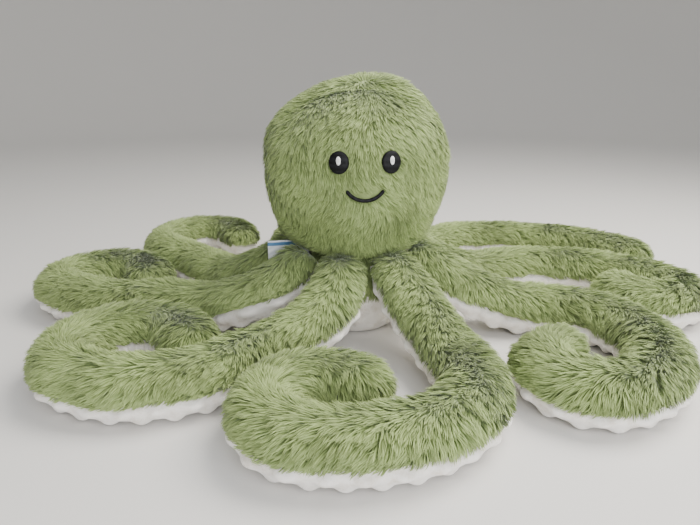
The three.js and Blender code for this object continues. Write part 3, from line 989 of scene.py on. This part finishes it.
@dataclass(frozen=True)
class Head(Skin):
    """The stuffed head: an egg fuller below its middle, of a face panel and a taller back panel."""

    half_width: float = 88.0
    half_depth: float = 84.0
    centre: float = 178.0
    rise: float = 70.0
    drop: float = 97.0
    roundness_up: float = 2.0
    roundness_down: float = 2.6
    turn: float = 5.0
    floor: float = 93.5
    socket_radius: float = 36.0
    socket_height: float = 88.3
    seam_lean: float = 0.55
    seed: int = 400
    cut: PileCut = PileCut(
        length=11.0, width=0.8, density=0.78, lift=0.42, droop=0.1,
        swirl=30.0, stray=9.0, gather=0.25, tuft=5.0,
    )
    eye_names: tuple[str, str] = ("left_eye", "right_eye")

    def turned(self, points: Array) -> Array:
        """Turns points about the upright axis from the head's own frame into the toy's."""
        angle = math.radians(self.turn)
        x, y, z = np.moveaxis(points, -1, 0)
        return np.stack(
            [x * math.cos(angle) - y * math.sin(angle), x * math.sin(angle) + y * math.cos(angle), z], -1,
        )

    def straight(self, points: Array) -> Array:
        """Turns points from the toy's frame back into the head's own."""
        angle = -math.radians(self.turn)
        x, y, z = np.moveaxis(points, -1, 0)
        return np.stack(
            [x * math.cos(angle) - y * math.sin(angle), x * math.sin(angle) + y * math.cos(angle), z], -1,
        )

    def girth(self, height: Array) -> Array:
        """The share of the full width at a height: (1 - t^n)^(1 / n), t being the way from the middle."""
        above = height > self.centre
        tall = np.where(above, self.rise, self.drop)
        power = np.where(above, self.roundness_up, self.roundness_down)
        share = np.clip(np.abs(height - self.centre) / tall, 0, 1)
        return (1 - share**power) ** (1 / power)

    def seam_distance(self, points: Array) -> Array:
        """How far points in the head's own frame lie behind the leaning seam plane."""
        across = points[..., 1] + self.seam_lean * (points[..., 2] - self.centre)
        return across / math.hypot(1, self.seam_lean)

    def swell(self, points: Array) -> Array:
        """How far the cloth stands off the plain egg: the sewn-in seam, the back panel and its corners.

        The seam pulls the cloth in by a bell curve 5 mm wide to each side, the back panel stands out
        behind it, and two wide bells fill the crown towards +X and flatten it towards -X.
        """
        local = self.straight(points)
        behind = self.seam_distance(local)
        crown = smooth_step(local[..., 2], self.centre - 40, self.centre + 20)
        crease = -1.6 * np.exp(-((behind / 5.0) ** 2)) * (0.35 + 0.65 * crown)
        panel = 2.4 * smooth_step(behind, 1.0, 16.0) * crown
        way = unit(local - np.array([0.0, 0.0, self.centre]))
        corner = 5.0 * np.exp(-6.0 * (1 - way @ unit(np.array([0.42, 0.1, 0.9]))) * 2)
        slack = -3.5 * np.exp(-5.0 * (1 - way @ unit(np.array([-0.72, -0.1, 0.66]))) * 2)
        level_face = np.exp(-((local[..., 0] / 45) ** 2)) * (behind < 0)
        lumps = 1.3 * ripple(points, 80, self.seed) * (1 - level_face)
        return crease + panel + corner + slack + lumps

    def points(self, first: Array, second: Array) -> Array:
        """The head's outer cloth above its floor.

        Args:
            first: Millimetres down from the crown, as an arc of a circle of the head's mean radius.
            second: Millimetres round the head at its widest.

        Returns:
            The points, with the seam and the corners worked in.
        """
        polar = np.clip(first / self.mean_radius, 1e-4, np.pi - 1e-4)
        around = second / self.mean_radius
        above = np.cos(polar) > 0
        power = np.where(above, self.roundness_up, self.roundness_down)
        tall = np.where(above, self.rise, self.drop)
        z = self.centre + tall * np.sign(np.cos(polar)) * np.abs(np.cos(polar)) ** (2 / power)
        girth = np.sin(polar) ** (2 / power)
        plain = self.turned(np.stack(
            [self.half_width * girth * np.cos(around), self.half_depth * girth * np.sin(around), z], -1,
        ))
        middle = np.array([0.0, 0.0, self.centre])
        return plain + unit(plain - middle) * self.swell(plain)[..., None]

    @property
    def mean_radius(self) -> float:
        """The radius that turns the skin's parameters into angles."""
        return (self.half_width + self.half_depth) / 2

    @property
    def floor_polar(self) -> float:
        """The angle from the crown at which the cloth turns in underneath."""
        share = (self.centre - self.floor) / self.drop
        return math.pi - math.acos(share ** (self.roundness_down / 2))

    def build_cloth(self, wardrobe: Wardrobe) -> bpy.types.Object:
        """The stuffed head: outer cloth, a rounded edge, the floor, and the hollow that the neck fills."""
        columns = 150
        around = np.linspace(0, 2 * np.pi * self.mean_radius, columns + 1)
        down = np.linspace(0.4, self.floor_polar * self.mean_radius, 110)
        first, second = np.meshgrid(down, around[:-1], indexing="ij")
        outer = self.points(first, second)
        edge = outer[-1]
        radial = edge[:, :2]
        floor_share = np.linspace(0.985, self.socket_radius / 60.0, 14)
        floors = [np.column_stack([radial * share, np.full(columns, self.floor - 1.5 * math.sin(
            math.pi * (share - 0.6) / 0.4) * (share > 0.6))]) for share in floor_share]
        lip = math.asin((self.floor - self.socket_height) / self.socket_radius)
        steps = np.linspace(lip, math.pi / 2 - 0.02, 12)
        way = unit(radial)
        hollow = [
            np.column_stack([
                way * self.socket_radius * math.cos(step),
                np.full(columns, self.socket_height + self.socket_radius * math.sin(step)),
            ]) for step in steps
        ]
        rings = np.concatenate([outer, np.stack(floors), np.stack(hollow)])
        along = np.concatenate([down, down[-1] + np.arange(1, len(floors) + len(hollow) + 1) * 3.0])
        rings = rings[:, ::-1]
        piece = closed_shell("head_stuffed", rings, around, along, [wardrobe.backing])
        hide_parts("head_filling")
        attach(piece, "head")
        return piece

    def face_point(self, x: Array, z: Array, lift: Array) -> Array:
        """A point on the face at x and z in the head's own frame, lifted off the cloth."""
        y = -self.half_depth * np.sqrt(np.clip(self.girth(z) ** 2 - (x / self.half_width) ** 2, 0.01, 1))
        plain = np.stack([x, y, z], -1)
        middle = np.array([0.0, 0.0, self.centre])
        out = unit(plain - middle)
        swell = self.swell(self.turned(plain))
        return self.turned(plain + out * (swell + lift)[..., None])

    def node_oval(self, node: str) -> tuple[float, float, float, float]:
        """A stitched oval's middle and half sizes in the head's own frame, from its CAD node's box."""
        low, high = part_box(node)
        middle = self.straight(np.array([(low.x + high.x) / 2, (low.y + high.y) / 2, 0]) / MM)
        half_width = (high.x - low.x) / 2 / MM
        return float(middle[0]), (low.z + high.z) / 2 / MM, half_width, (high.z - low.z) / 2 / MM

    def stitched_oval(
        self, node: str, grow: float, lift: float, dome: float, finish: bpy.types.Material, slot: Slot,
    ) -> bpy.types.Object:
        """A satin-stitched oval: rings from the middle to the rim, domed as a circle's arc, then a wall.

        Args:
            node: The CAD node it stands for.
            grow: Millimetres added all round.
            lift: How far its rim stands off the cloth.
            dome: How much further its middle stands out.
            finish: The thread.
            slot: Not used.

        Returns:
            The piece.
        """
        x, z, half_width, half_height = self.node_oval(node)
        turn = np.linspace(0, 2 * np.pi, 49)[:-1]
        inner = np.linspace(0.03, 1, 16)
        share = np.concatenate([inner, [1.0, 0.9]])
        height = np.concatenate([lift + dome * np.sqrt(1 - inner**2 * 0.96), [-1.0, -1.5]])
        along, around = np.meshgrid(np.arange(len(share)), turn, indexing="ij")
        across = (half_width + grow) * share[along] * np.cos(around)
        up = (half_height + grow) * share[along] * np.sin(around)
        stitches = 0.12 * np.sin(2 * np.pi * up / 0.9 + 0.5 * across)
        rings = self.face_point(x + across, z + up, height[along] + stitches * (share[along] < 1))
        piece = closed_shell(f"{node}_stitched", rings[:, ::-1], turn_to_span(turn), share * 10, [finish])
        layer = piece.data.uv_layers[CLOTH_MAP]
        corners = np.zeros(len(piece.data.loops), np.int32)
        piece.data.loops.foreach_get("vertex_index", corners)
        flat = np.concatenate([np.stack([up, across], -1)[:, ::-1].reshape(-1, 2), np.zeros((2, 2))])
        layer.data.foreach_set("uv", (flat[corners] / MAP_SPAN).astype(np.float32).ravel())
        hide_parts(node)
        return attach(piece, "head")

    def smile_line(self) -> tuple[float, float, float, float]:
        """The smile's arc in the head's own frame: its middle's x and z, its radius and its half angle."""
        low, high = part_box("smile")
        thread = 3.0
        half = ((high.x - low.x) / MM - thread) / 2
        sag = (high.z - low.z) / MM - thread
        radius = (half * half + sag * sag) / (2 * sag)
        x = float(self.straight(np.array([(low.x + high.x) / 2, (low.y + high.y) / 2, 0]) / MM)[0])
        return x, low.z / MM + thread / 2 + radius, radius, math.asin(min(1, half / radius))

    def build_smile(self, finish: bpy.types.Material) -> bpy.types.Object:
        """A satin-stitched cord of 3 mm: a flattened half round carried along the smile's arc."""
        x, z, radius, reach = self.smile_line()
        angle = np.linspace(-reach, reach, 70)
        section = np.linspace(0, 2 * np.pi, 17)[:-1]
        along, around = np.meshgrid(angle, section, indexing="ij")
        end = np.minimum(1, (reach - np.abs(along)) * radius / 1.6 + 0.25)
        half = 1.55 * np.sqrt(np.clip(end, 0, 1))
        ridge = 1 + 0.05 * np.sin(2 * np.pi * along * radius / 0.9)
        offset = half * np.cos(around)
        lift = 3.0 + 1.5 * np.sin(around) * ridge
        rings = self.face_point(
            x + (radius + offset) * np.sin(along), z - (radius + offset) * np.cos(along), lift,
        )
        around_span = np.append(section, 2 * np.pi) * 1.5
        piece = closed_shell("smile_stitched", rings[:, ::-1], around_span, angle * radius, [finish])
        layer = piece.data.uv_layers[CLOTH_MAP]
        places = np.zeros(len(piece.data.loops) * 2, np.float32)
        layer.data.foreach_get("uv", places)
        layer.data.foreach_set("uv", places.reshape(-1, 2)[:, ::-1].ravel())
        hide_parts("smile")
        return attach(piece, "head")

    def is_face(self, points: Array) -> NDArray[np.bool_]:
        """Which places lie over the eyes or the smile, so that no strand may cross them."""
        local = self.straight(points)
        front = local[:, 1] < -30
        covered = np.zeros(len(points), bool)
        for node in self.eye_names:
            x, z, half_width, half_height = self.node_oval(node)
            across = (local[:, 0] - x) / (half_width + 0.2)
            up = (local[:, 2] - z) / (half_height + 0.2)
            covered |= np.hypot(across, up) < 1
        x, z, radius, reach = self.smile_line()
        across, up = local[:, 0] - x, local[:, 2] - z
        on_arc = np.abs(np.hypot(across, up) - radius) < 2.0
        covered |= on_arc & (up < 0) & (np.abs(np.arctan2(across, -up)) < reach + 0.05)
        return covered & front

    def build_pile(self, wardrobe: Wardrobe) -> list[bpy.types.Object]:
        """The pile of the face panel and of the back panel, brushed down and outwards from the crown."""
        made = []
        rng = np.random.default_rng(self.seed + 1)
        spans = ((1.0, self.floor_polar * self.mean_radius + 4), (0.0, 2 * np.pi * self.mean_radius))
        first, second = scatter(self, spans, self.cut.density, rng)
        roots, _, _, normals = self.frames(first, second)
        from_middle = roots - np.array([0, 0, self.centre])
        normals = unit(normals * np.sign((normals * from_middle).sum(-1, keepdims=True)))
        local = self.straight(roots)
        behind = self.seam_distance(local)
        lower = smooth_step(-(local[:, 2] - self.centre), -10, 60)
        outward = local[:, 0] / self.half_width
        one = np.ones_like(outward)
        front = np.stack([0.75 * outward * (1 + lower), -0.25 * one, -one], -1)
        back = np.stack([0.5 * outward, 0.4 * one, -0.8 * one], -1)
        comb = self.turned(np.where((behind > 0)[:, None], back, front))
        stand = 0.25 * smooth_step(-(local[:, 2] - self.centre), 50, 80)
        share = 0.88 + 0.12 * smooth_step(np.abs(behind), 0, 10)
        share = share * (0.72 + 0.28 * smooth_step(self.face_clearance(local), 0, 16))
        share = share * (1 + 0.25 * smooth_step(-(local[:, 2] - self.centre), 45, 80))
        for label, node, chosen in (
            ("face", "head_face_panel", behind <= 0), ("back", "head_back_panel", behind > 0),
        ):
            strands = Strands(roots[chosen], normals[chosen], comb[chosen], share[chosen], stand[chosen])
            piece = grow_pile(
                f"head_{label}_pile", strands, self.cut, wardrobe.pile, self.seed + len(made), self.is_face,
            )
            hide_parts(node)
            made.append(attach(piece, "head"))
        return made

    def face_clearance(self, local: Array) -> Array:
        """How far places in the head's own frame are from the nearest eye's rim or the smile."""
        nearest = np.full(len(local), 1e3)
        for node in self.eye_names:
            x, z, half_width, half_height = self.node_oval(node)
            nearest = np.minimum(nearest, np.hypot(local[:, 0] - x, local[:, 2] - z) - half_width)
        x, z, radius, reach = self.smile_line()
        across, up = local[:, 0] - x, local[:, 2] - z
        angle = np.clip(np.arctan2(across, -up), -reach, reach)
        smile = np.hypot(across - radius * np.sin(angle), up + radius * np.cos(angle))
        nearest = np.minimum(nearest, smile)
        return np.where(local[:, 1] < 0, nearest, 1e3)

    def build(self, wardrobe: Wardrobe) -> list[bpy.types.Object]:
        """Builds every piece of the head and returns them."""
        made = [self.build_cloth(wardrobe)]
        for node in self.eye_names:
            made.append(self.stitched_oval(node, 0.2, 2.6, 2.0, wardrobe.black, Slot.BLACK_THREAD))
            made.append(self.stitched_oval(f"{node}_glint", 0.1, 4.3, 0.7, wardrobe.white, Slot.WHITE_THREAD))
        made.append(self.build_smile(wardrobe.black))
        return made + self.build_pile(wardrobe)


def turn_to_span(turn: Array) -> Array:
    """The ring's angles as places across a map, with one more for the ring's end."""
    return np.append(turn, 2 * np.pi) * 10


# ---------------------------------------------------------------- body


@dataclass(frozen=True)
class Body(Skin):
    """The stuffed drum between the arms, its white base, and the round plug of the neck."""

    radius: float = 47.5
    top: float = 86.5
    top_radius: float = 33.0
    shoulder: float = 71.0
    seam: float = 42.0
    seam_corner: int = 6  # which corner of the outline is the seam
    edge: float = 16.0
    flat_radius: float = 34.0
    neck_height: float = 88.3
    neck_radius: float = 32.5
    seed: int = 600
    cut: PileCut = PileCut(length=9.0, density=0.55)

    def profile(self) -> Array:
        """The drum's outline from the table's middle up to its top's, as radius and height."""
        return np.array([
            [0.4, 0.6], [self.flat_radius - 3, 0.6],
            [self.flat_radius + 4, 2.5], [self.radius - 3, self.edge - 4],
            [self.radius, self.edge + 6], [self.radius + 0.5, self.seam - 6],
            [self.radius - 1, self.seam], [self.radius + 0.5, self.seam + 6],
            [self.radius, self.shoulder - 8], [self.radius - 3, self.shoulder],
            [self.top_radius + 4, self.top - 3], [self.top_radius - 4, self.top], [0.4, self.top],
        ])

    def along_profile(self, way: Array) -> tuple[Array, Array]:
        """Radius and height at a distance along the outline, smoothed by a Catmull-Rom spline."""
        corners = self.profile()
        run = np.concatenate([[0], np.cumsum(np.hypot(*np.diff(corners, axis=0).T))])
        at = np.interp(np.clip(way, 0, run[-1]), run, np.arange(len(run)))
        index = np.clip(at.astype(int), 0, len(corners) - 2)
        t = (at - index)[..., None]
        before, here = corners[np.maximum(index - 1, 0)], corners[index]
        there, beyond = corners[index + 1], corners[np.minimum(index + 2, len(corners) - 1)]
        spline = 0.5 * (2 * here + (there - before) * t + (2 * before - 5 * here + 4 * there - beyond) * t**2
                        + (3 * here - before - 3 * there + beyond) * t**3)
        return np.maximum(spline[..., 0], 0.3), np.maximum(spline[..., 1], 0.4)

    def points(self, first: Array, second: Array) -> Array:
        """The drum's cloth: millimetres along its outline, and round it at its widest."""
        radius, height = self.along_profile(first)
        around = second / self.radius
        return np.stack([radius * np.cos(around), radius * np.sin(around), height], -1)

    def outline_length(self) -> float:
        """The length of the outline's corners, joined straight."""
        return float(np.hypot(*np.diff(self.profile(), axis=0).T).sum())

    def build(self, wardrobe: Wardrobe) -> list[bpy.types.Object]:
        """Builds the base, the cover with its pile, and the neck's plug."""
        whole = self.outline_length()
        corners = self.profile()
        run = np.concatenate([[0], np.cumsum(np.hypot(*np.diff(corners, axis=0).T))])
        seam_at = run[self.seam_corner]
        columns = 120
        around = np.linspace(0, 2 * np.pi * self.radius, columns + 1)
        made = []
        for name, low, high, finish, slot, nodes in (
            ("body_base_stuffed", 0.0, seam_at, wardrobe.sole, Slot.WHITE_SOLE, ("body_base",)),
            ("body_cover_stuffed", seam_at, whole, wardrobe.backing, Slot.GREEN_PILE, ("body_filling",)),
        ):
            ways = np.linspace(low, high, 60)
            first, second = np.meshgrid(ways, around[:-1], indexing="ij")
            rings = self.points(first, second)
            if finish is wardrobe.sole:
                out = unit(rings * np.array([1.0, 1.0, 0.0]))
                bubbles = DimpleSheet(height=2.6).rise(first, second)
                rings = rings + out * (bubbles * smooth_step(rings[..., 2], 1, 8))[..., None]
            piece = closed_shell(name, rings, around, ways, [finish])
            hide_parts(*nodes)
            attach(piece, "body")
            made.append(piece)

        rng = np.random.default_rng(self.seed)
        spans = ((seam_at, whole - 25), (0.0, 2 * np.pi * self.radius))
        first, second = scatter(self, spans, self.cut.density, rng)
        roots, _, _, _ = self.frames(first, second)
        normals = unit(roots - np.array([0, 0, self.seam + 10]))
        comb = np.stack([roots[:, 0] * 0.01, roots[:, 1] * 0.01, -np.ones(len(roots))], -1)
        pile = grow_pile(
            "body_pile", Strands(roots, normals, comb, np.ones(len(roots)), np.zeros(len(roots))),
            self.cut, wardrobe.pile, self.seed,
        )
        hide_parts("body_cover")
        made.append(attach(pile, "body"))

        turn = np.linspace(0, 2 * np.pi * self.neck_radius, 61)
        polar = np.linspace(0.01, np.pi / 2, 24)
        angle, round_at = np.meshgrid(polar, turn[:-1] / self.neck_radius, indexing="ij")
        gathers = 1 - 0.012 * (1 + np.cos(12 * round_at)) * np.sin(angle)
        rings = np.stack([
            self.neck_radius * gathers * np.sin(angle) * np.cos(round_at),
            self.neck_radius * gathers * np.sin(angle) * np.sin(round_at),
            self.neck_height + 0.4 + self.neck_radius * np.cos(angle),
        ], -1)[:, ::-1]
        neck = closed_shell("neck_stuffed", rings, turn, polar * self.neck_radius, [wardrobe.backing])
        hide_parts("neck_filling")
        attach(neck, "neck")
        made.append(neck)
        return made


# ---------------------------------------------------------------- label


@dataclass(frozen=True)
class Label:
    """The tape label sewn in behind the neck on the left: a flat strip, with its print left out."""

    length: float = 42.0
    height: float = 20.0
    thickness: float = 0.5
    azimuth: float = 189.5

    def build(self, wardrobe: Wardrobe) -> bpy.types.Object:
        """The tape: a flat strip along a radius that waves a little sideways, more towards its free end."""
        low, high = (np.array(corner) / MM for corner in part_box("label"))
        middle = (low + high) / 2
        heading = math.radians(self.azimuth)
        out = np.array([math.cos(heading), math.sin(heading), 0.0])
        side = np.array([-math.sin(heading), math.cos(heading), 0.0])
        along, up = np.meshgrid(
            np.linspace(-0.5, 0.5, 43) * self.length, np.linspace(-0.5, 0.5, 21) * self.height, indexing="ij",
        )
        wave = 1.2 * np.sin(along / 9.0) * (0.5 + along / self.length)
        upright = np.array([0.0, 0.0, 1.0])
        points = middle + along[..., None] * out + wave[..., None] * side + up[..., None] * upright
        rows, columns, _ = points.shape
        row, column = (values.ravel() for values in np.meshgrid(
            np.arange(rows - 1), np.arange(columns - 1), indexing="ij"))
        steps = ((0, 0), (1, 0), (1, 1), (0, 1))
        quads = np.stack([(row + down) * columns + column + over for down, over in steps], 1)
        places = np.stack([
            np.stack([(row + down) / (rows - 1), (column + over) / (columns - 1)], 1) for down, over in steps
        ], 1).reshape(-1, 2)
        piece = build_object(
            "label_tape", points.reshape(-1, 3), [quads], [wardrobe.tape], None, {CLOTH_MAP: places},
        )
        wall = piece.modifiers.new("thickness", "SOLIDIFY")
        wall.thickness = self.thickness * MM
        wall.offset = 0
        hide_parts("label")
        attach(piece, "body")
        return piece


# ---------------------------------------------------------------- stage


@dataclass(frozen=True)
class Studio:
    """The plain pale floor, soft lights and the camera."""

    camera_place: tuple[float, float, float] = (-0.006, -0.608, 0.250)
    camera_pitch: float = 17.0
    view_width: float = 700.0
    focal_length: float = 600.0  # in the same unit as the view's width
    sensor: float = 36.0
    cove_radius: float = 2.2  # metres, as the two below
    cove_sweep: float = 1.2
    cove_height: float = 2.6

    def build_camera(self) -> None:
        """Places the camera level with the toy's head, looking a little down along +Y."""
        lens = bpy.data.cameras.new("camera")
        lens.sensor_width = self.sensor
        lens.lens = self.focal_length / self.view_width * self.sensor
        lens.clip_start, lens.clip_end = 0.01, 20
        camera = bpy.data.objects.new("camera", lens)
        camera.location = self.camera_place
        camera.rotation_euler = (math.radians(90 - self.camera_pitch), 0, 0)
        bpy.context.scene.collection.objects.link(camera)
        bpy.context.scene.camera = camera

    def add_light(
        self, name: str, place: tuple[float, float, float], target: tuple[float, float, float],
        size: float, power: float, colour: str,
    ) -> None:
        """Adds one square soft light.

        Args:
            name: Its name.
            place: Where it stands, in metres.
            target: What it points at, in metres.
            size: Its side in metres.
            power: Its power in watts.
            colour: Its sRGB hex colour.
        """
        lamp = bpy.data.lights.new(name, "AREA")
        lamp.size = size
        lamp.energy = power
        lamp.color = linear(colour)[:3]
        light = bpy.data.objects.new(name, lamp)
        light.location = place
        towards = np.array(target) - np.array(place)
        flat = math.hypot(towards[0], towards[1])
        light.rotation_euler = (math.atan2(flat, -towards[2]), 0, math.atan2(-towards[0], towards[1]))
        bpy.context.scene.collection.objects.link(light)

    def build_cove(self) -> bpy.types.Object:
        """The floor: a round plain that sweeps up all round it as a quarter circle and a wall."""
        flat = np.linspace(0.02, self.cove_radius, 8)
        bend = np.linspace(0, np.pi / 2, 24)[1:]
        radius = np.concatenate([flat, self.cove_radius + self.cove_sweep * np.sin(bend)])
        height = np.concatenate([np.zeros(len(flat)), self.cove_sweep * (1 - np.cos(bend))])
        radius, height = np.append(radius, radius[-1]), np.append(height, self.cove_height)
        columns = 96
        turn = np.linspace(0, 2 * np.pi, columns + 1)
        along, around = np.meshgrid(np.arange(len(radius)), turn[:-1], indexing="ij")
        points = np.stack([radius[along] * np.cos(around), radius[along] * np.sin(around), height[along]], -1)
        row, column = (values.ravel() for values in np.meshgrid(
            np.arange(len(radius) - 1), np.arange(columns), indexing="ij"))
        beside = (column + 1) % columns
        here, above = row * columns, (row + 1) * columns
        quads = np.stack([here + column, above + column, above + beside, here + beside], 1)
        middle = np.arange(columns)[None, :]
        vertices = points.reshape(-1, 3) / MM
        return build_object("floor", vertices, [quads, middle], [TableFinish().material()])

    def build(self) -> None:
        """Builds the floor, the lights and the sky."""
        self.build_cove()
        middle = (0.0, 0.0, 0.1)
        self.add_light("key", (0.6, 0.0, 1.0), middle, 0.8, 22.0, "#fffaf2")
        self.add_light("fill", (0.35, -1.2, 0.5), middle, 1.0, 17.0, "#f6f8ff")
        self.add_light("top", (0.0, 0.1, 1.6), middle, 1.6, 6.0, "#ffffff")
        sky = bpy.data.worlds.new("sky")
        sky.use_nodes = True
        sky.node_tree.nodes["Background"].inputs["Color"].default_value = linear("#d9dadb")
        sky.node_tree.nodes["Background"].inputs["Strength"].default_value = 0.8
        bpy.context.scene.world = sky


# ---------------------------------------------------------------- the toy

FIRST_AZIMUTH = 257.0
AZIMUTH_STEP = 45.0
ARM_RUNS: dict[str, tuple[tuple[float, float], ...]] = {
    "arm_front_left": ((70, 53), (55, -30), (138, 86), (242, 244)),
    "arm_front_right": ((110, 14), (95, 66), (105, 56), (195, 234)),
    "arm_right": ((100, -12), (115, 72), (135, 82), (155, 208)),
    "arm_right_back": ((100, 2), (110, 40), (130, 54), (165, 234)),
    "arm_back_right": ((75, 24), (80, 1), (100, 44), (250, 78)),
    "arm_back_left": ((95, 16), (115, 20), (110, 98), (185, 160)),
    "arm_left_back": ((100, 42), (118, -18), (110, 70), (177, 182)),
    "arm_left": ((60, 62), (110, -36), (100, 46), (235, 252)),
}


def report(pieces: Sequence[bpy.types.Object]) -> None:
    """Logs each piece with its number of faces."""
    for piece in pieces:
        LOG.info("%s: %d faces", piece.name, len(piece.data.polygons))


def main() -> None:
    """Builds the camera and the studio, then the toy from its head to its label."""
    logging.basicConfig(level=logging.INFO, format="%(name)s: %(message)s")
    studio = Studio()
    studio.build_camera()
    studio.build()
    wardrobe = Wardrobe()
    report(Head().build(wardrobe))
    report(Body().build(wardrobe))
    for number, (name, runs) in enumerate(ARM_RUNS.items()):
        arm = Arm(name, FIRST_AZIMUTH + AZIMUTH_STEP * number, runs, seed=20 * (number + 1))
        report(arm.build(wardrobe))
    report([Label().build(wardrobe)])


if __name__ == "__main__":
    main()
